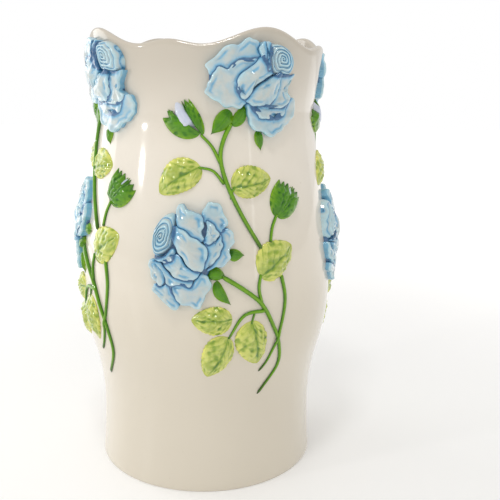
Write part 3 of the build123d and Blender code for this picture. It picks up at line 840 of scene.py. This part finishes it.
def make_pot():
    """The pot as one closed skin: foot, outside, waved and rounded rim, inside, floor."""
    angles = np.linspace(0, 360, AROUND, endpoint=False)
    top = rim_height(angles)
    round_off = 0.5 * WALL
    outer, inner = wall_points(0, 12), wall_points(-WALL, 12)
    rows = []

    def row(radius, height):
        turn = np.radians(angles)
        rows.append(np.stack([radius * np.sin(turn), -radius * np.cos(turn), height + 0 * turn], -1) * MM)

    recess_radius = FOOT_RADIUS - FOOT_WIDTH
    for radius in (*MIDDLE_RADII, recess_radius - 2):
        row(radius, FOOT_RECESS)
    for radius, edge in ((recess_radius, RECESS_EDGE), (FOOT_RADIUS, FOOT_EDGE)):
        for step, height in edge:
            row(radius + step, height)
    bare_rows = len(rows) - 1
    for share in np.linspace(LOWEST_SHARE, 1, OUTSIDE_ROWS):
        height = share * (top - round_off)
        row(np.interp(height, outer[:, 1], outer[:, 0]), height)
    for turn in np.linspace(0, pi, RIM_ROWS)[1:-1]:
        middle = np.interp(top - round_off, outer[:, 1], outer[:, 0]) - WALL / 2
        row(middle + WALL / 2 * cos(turn), top - round_off + round_off * sin(turn))
    corner = FLOOR_TOP + FLOOR_CORNER
    for share in np.linspace(1, 0, INSIDE_ROWS):
        height = corner + share * (top - round_off - corner)
        row(np.interp(height, inner[:, 1], inner[:, 0]), height)
    corner_radius = np.interp(corner, inner[:, 1], inner[:, 0])
    for turn in np.linspace(0, pi / 2, CORNER_ROWS)[1:]:
        row(corner_radius - FLOOR_CORNER * (1 - cos(turn)), corner - FLOOR_CORNER * sin(turn))
    for radius in reversed(MIDDLE_RADII):
        row(radius, FLOOR_TOP)
    points = np.concatenate(rows + [[[0, 0, FOOT_RECESS * MM], [0, 0, FLOOR_TOP * MM]]])
    faces = []
    for i in range(len(rows) - 1):
        for j in range(AROUND):
            k = (j + 1) % AROUND
            faces.append((i * AROUND + j, i * AROUND + k, (i + 1) * AROUND + k, (i + 1) * AROUND + j))
    below, inside = len(rows) * AROUND, len(rows) * AROUND + 1
    last = (len(rows) - 1) * AROUND
    faces += [((j + 1) % AROUND, j, below) for j in range(AROUND)]
    faces += [(last + j, last + (j + 1) % AROUND, inside) for j in range(AROUND)]
    mesh = bpy.data.meshes.new("pot_glazed")
    mesh.from_pydata(points.tolist(), [], faces)
    mesh.shade_smooth()
    mesh.materials.append(BODY_GLAZE)
    mesh.materials.append(BARE_CLAY)
    flags = np.zeros(len(faces), np.int32)
    flags[:bare_rows * AROUND] = 1
    flags[last:last + AROUND] = 1
    mesh.polygons.foreach_set("material_index", flags)
    pot = bpy.data.objects.new("pot_glazed", mesh)
    bpy.context.scene.collection.objects.link(pot)
    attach(pot, "root")
    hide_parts("vessel")


# ------------------------------------------------------- camera, floor and light
CAMERA_PLACE = (0, -0.784, 0.410)
CAMERA_TURN, CAMERA_PITCH, CAMERA_ROLL = 3.48, 13.07, 0.9      # degrees
LENS, SENSOR = 51.85, 36.0
FLOOR_HALF, FLOOR_WHITE, FLOOR_ROUGHNESS = 6.0, (0.95, 0.95, 0.95, 1), 0.45
FLOOR_GLOW = (0.3, 1.5, 0.10, 0.42)      # from this near to this far, from this weak to this strong
ROOM_COLOUR, ROOM_LIGHT = (1.0, 0.985, 0.96, 1), 0.70
# Lamps: name, place, the point faced, width and height, watts.
LAMPS = [
    ("key", (-1.436, -0.669, 0.528), (0, 0, 0.33), (0.11, 0.055), 3.0),
    ("strip", (1.04, -1.17, 0.42), (0, 0, 0.3), (0.05, 0.7), 0.15),
    ("left", (-1.3, 0.7, 0.7), (0, 0, 0.25), (0.9, 1.4), 6.0),
    ("right", (1.1, 1.2, 0.8), (0, 0, 0.3), (1.0, 1.4), 0.9),
    ("top", (-0.15, -0.6, 1.6), (0, 0, 0.3), (0.22, 0.22), 4.0),
]


def make_camera():
    """A camera in front of the stand, slightly below its rim, turned a little down."""
    camera = bpy.data.objects.new("camera", bpy.data.cameras.new("camera"))
    bpy.context.scene.collection.objects.link(camera)
    camera.data.sensor_width = SENSOR
    camera.data.lens = LENS
    camera.data.clip_start, camera.data.clip_end = 0.05, 20.0
    turn, pitch, roll = radians(CAMERA_TURN), radians(CAMERA_PITCH), radians(CAMERA_ROLL)
    forward = Vector((sin(turn) * cos(pitch), cos(turn) * cos(pitch), -sin(pitch)))
    right = Vector((cos(turn), -sin(turn), 0))
    up = right.cross(forward)
    tilted_right = cos(roll) * right + sin(roll) * up
    tilted_up = cos(roll) * up - sin(roll) * right
    camera.matrix_world = Matrix.Translation(CAMERA_PLACE) @ Matrix(
        (tilted_right, tilted_up, -forward)).transposed().to_4x4()
    bpy.context.scene.camera = camera


def area_light(name, place, target, size, power):
    """A white rectangular lamp that faces a point."""
    lamp = bpy.data.lights.new(name, "AREA")
    lamp.shape = "RECTANGLE"
    lamp.size, lamp.size_y = size
    lamp.energy = power
    holder = bpy.data.objects.new(name, lamp)
    bpy.context.scene.collection.objects.link(holder)
    holder.location = place
    holder.rotation_mode = "QUATERNION"
    holder.rotation_quaternion = (Vector(target) - Vector(place)).to_track_quat("-Z", "Y")


def make_floor():
    """A pale floor that glows a little more with distance, so that it meets the white around it."""
    mesh = bpy.data.meshes.new("floor")
    far = FLOOR_HALF
    mesh.from_pydata([(-far, -far, 0), (far, -far, 0), (far, far, 0), (-far, far, 0)], [], [(0, 1, 2, 3)])
    material, nodes, links, shader = new_material("floor_white")
    shader.inputs["Base Color"].default_value = FLOOR_WHITE
    shader.inputs["Roughness"].default_value = FLOOR_ROUGHNESS
    shader.inputs["Emission Color"].default_value = (1, 1, 1, 1)
    where = nodes.new("ShaderNodeTexCoord").outputs["Object"]
    reach = node(nodes, "ShaderNodeVectorMath", operation="LENGTH")
    links.new(where, reach.inputs[0])
    glow = ramp(nodes, links, reach.outputs["Value"], *FLOOR_GLOW)
    links.new(glow, shader.inputs["Emission Strength"])
    mesh.materials.append(material)
    floor = bpy.data.objects.new("floor", mesh)
    bpy.context.scene.collection.objects.link(floor)


def make_studio():
    """Pale floor, a room that lights evenly and looks white, and the lamps."""
    make_floor()
    world = bpy.data.worlds.new("studio")
    world.use_nodes = True
    nodes, links = world.node_tree.nodes, world.node_tree.links
    room = nodes["Background"]
    room.inputs[0].default_value = ROOM_COLOUR
    room.inputs[1].default_value = ROOM_LIGHT
    backdrop = nodes.new("ShaderNodeBackground")
    backdrop.inputs[0].default_value = (1, 1, 1, 1)
    rays = nodes.new("ShaderNodeLightPath")
    choice = nodes.new("ShaderNodeMixShader")
    links.new(rays.outputs["Is Camera Ray"], choice.inputs[0])
    links.new(room.outputs[0], choice.inputs[1])
    links.new(backdrop.outputs[0], choice.inputs[2])
    links.new(choice.outputs[0], nodes["World Output"].inputs[0])
    bpy.context.scene.world = world
    for name, place, target, size, power in LAMPS:
        area_light(name, place, target, size, power)


make_camera()
make_pot()
for spray in SPRAYS:
    make_spray(spray)
make_studio()

bpy.context.scene.view_settings.view_transform = "Standard"
